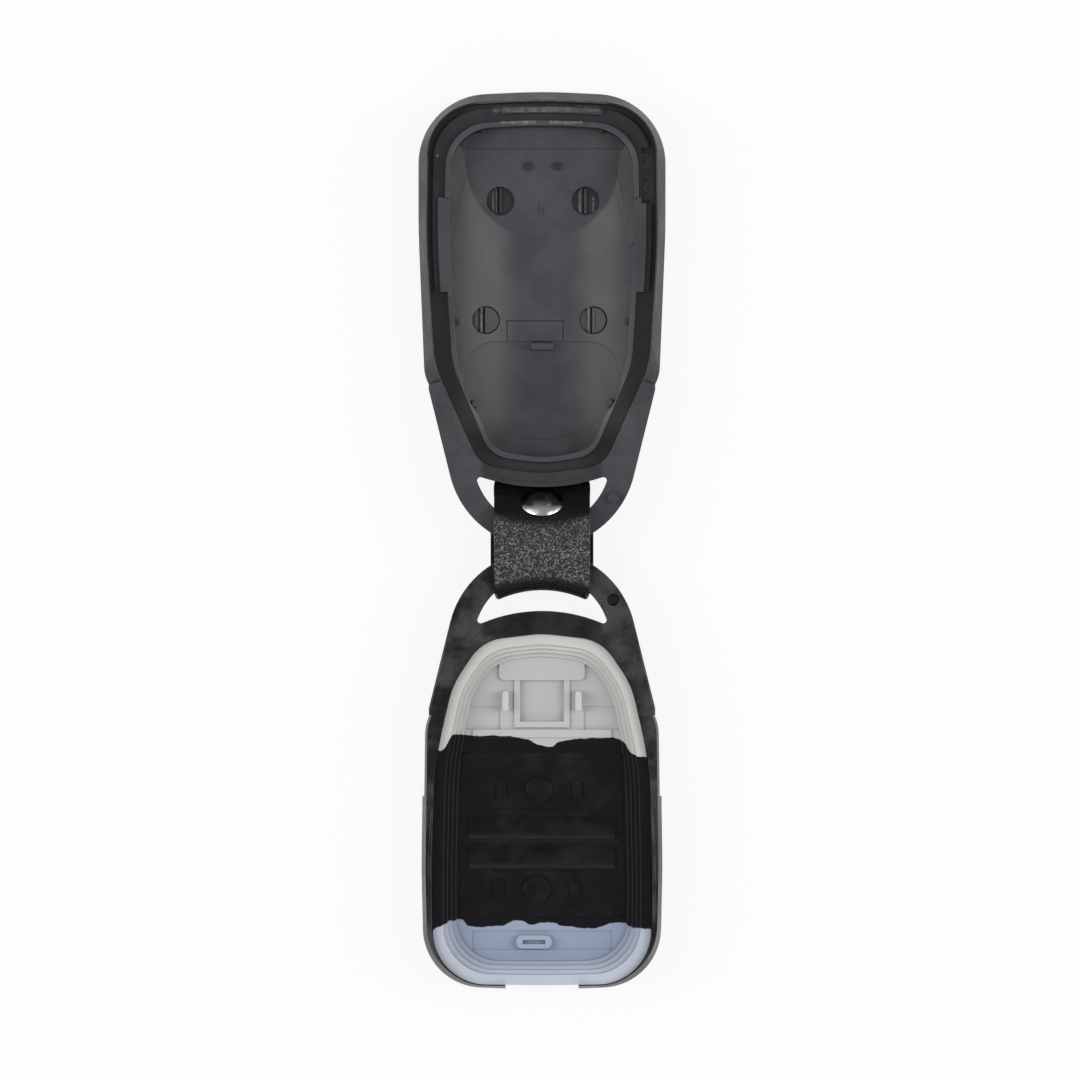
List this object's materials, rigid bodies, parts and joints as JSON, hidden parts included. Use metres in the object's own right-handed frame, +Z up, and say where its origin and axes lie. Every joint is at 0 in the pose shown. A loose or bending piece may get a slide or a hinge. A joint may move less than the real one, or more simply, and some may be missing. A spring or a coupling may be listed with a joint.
{
  "type": "key fob shell",
  "caption": "Empty two-part plastic remote key shell, laid open, with a soft button pad, sprung keys and a leather strap that links its loops and closes with a snap.",
  "frame": {"origin": "on the table, under the middle of the fold line where the two covers' key-ring loops touch", "axes": "+X across the shell, +Y from the fold line along the rear cover, +Z up from the table, with both covers lying inner side up"},
  "size_m": [0.0372, 0.135, 0.009],
  "materials": {
    "rear_plastic": "grained outside, satin inside",
    "front_plastic": "satin",
    "pad_silicone": "matt, moulded in three colours",
    "key_silicone": "matt",
    "strap_leather": "pebble grain",
    "dark_nickel": "dark polished",
    "nickel": "satin"
  },
  "bodies": {
    "rear_cover": {"rear_cover": "rear_plastic", "strap": "strap_leather", "snap_cap": "dark_nickel", "snap_socket": "nickel", "snap_stud": "nickel", "snap_post": "nickel"},
    "front_cover": {"front_cover": "front_plastic", "button_pad": "pad_silicone"},
    "lock_key": {"lock_key": "key_silicone"},
    "unlock_key": {"unlock_key": "key_silicone"}
  },
  "joints": [
    {"name": "shell_fold", "type": "hinge", "parent": "rear_cover", "child": "front_cover", "pos_m": [0, 0, 0.0065], "axis": [-1, 0, 0], "range_deg": [0, 180], "deforming": ["strap"]},
    {"name": "lock_press", "type": "slide", "parent": "front_cover", "child": "lock_key", "axis": [0, 0, 1], "range_m": [0, 0.0006], "stiffness_N_per_m": 1000},
    {"name": "unlock_press", "type": "slide", "parent": "front_cover", "child": "unlock_key", "axis": [0, 0, 1], "range_m": [0, 0.0006], "stiffness_N_per_m": 1000}
  ]
}
